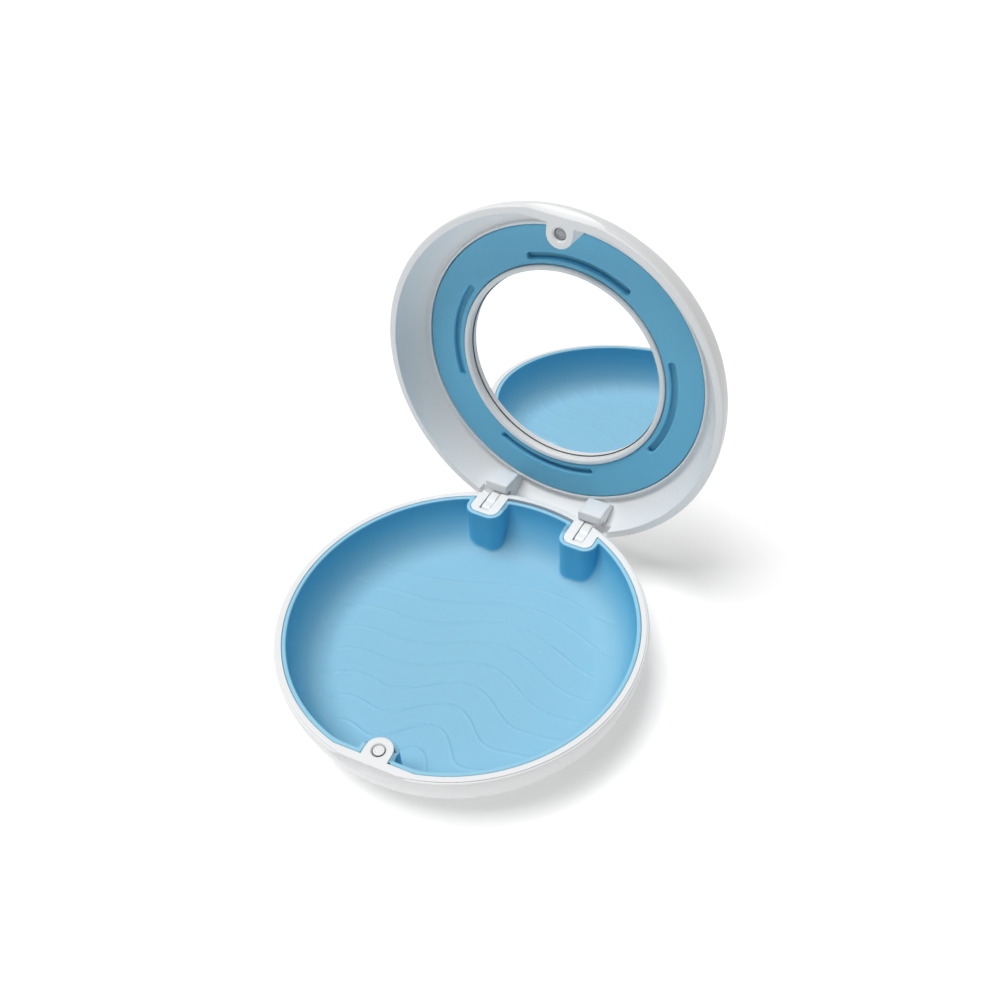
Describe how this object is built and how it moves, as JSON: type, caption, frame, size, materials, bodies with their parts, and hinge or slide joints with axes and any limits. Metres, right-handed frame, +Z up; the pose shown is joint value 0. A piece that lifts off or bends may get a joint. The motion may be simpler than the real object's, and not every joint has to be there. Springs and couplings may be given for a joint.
{
  "type": "denture case",
  "caption": "Round denture case: shallow silicone-lined bowl, hinged domed lid with an inside mirror, and a magnetic closure.",
  "frame": {"origin": "centre of the base's flat foot, on the surface that the case stands on", "axes": "+Z up, +Y from the centre towards the hinge, +X to the right along the hinge axis"},
  "size_m": [0.09, 0.1086, 0.0981],
  "materials": {
    "shell": "satin moulded white",
    "liner": "matt light blue silicone",
    "lid_silicone": "matt grey blue silicone",
    "magnet": "nickel plated",
    "pin": "drawn steel wire",
    "mirror": "silvered glass",
    "tape": "black foam tape"
  },
  "bodies": {
    "base": {"base_shell": "shell", "base_liner": "liner", "base_magnet": "magnet", "hinge_pin_left": "pin", "hinge_pin_right": "pin"},
    "lid": {"lid_shell": "shell", "lid_ring": "lid_silicone", "mirror_bezel": "shell", "mirror_glass": "mirror", "mirror_tape": "tape", "lid_magnet": "magnet"}
  },
  "joints": [
    {"name": "lid_hinge", "type": "hinge", "parent": "base", "child": "lid", "pos_m": [0, 0.04016, 0.0141], "axis": [1, 0, 0], "range_deg": [0, 96.2]}
  ]
}
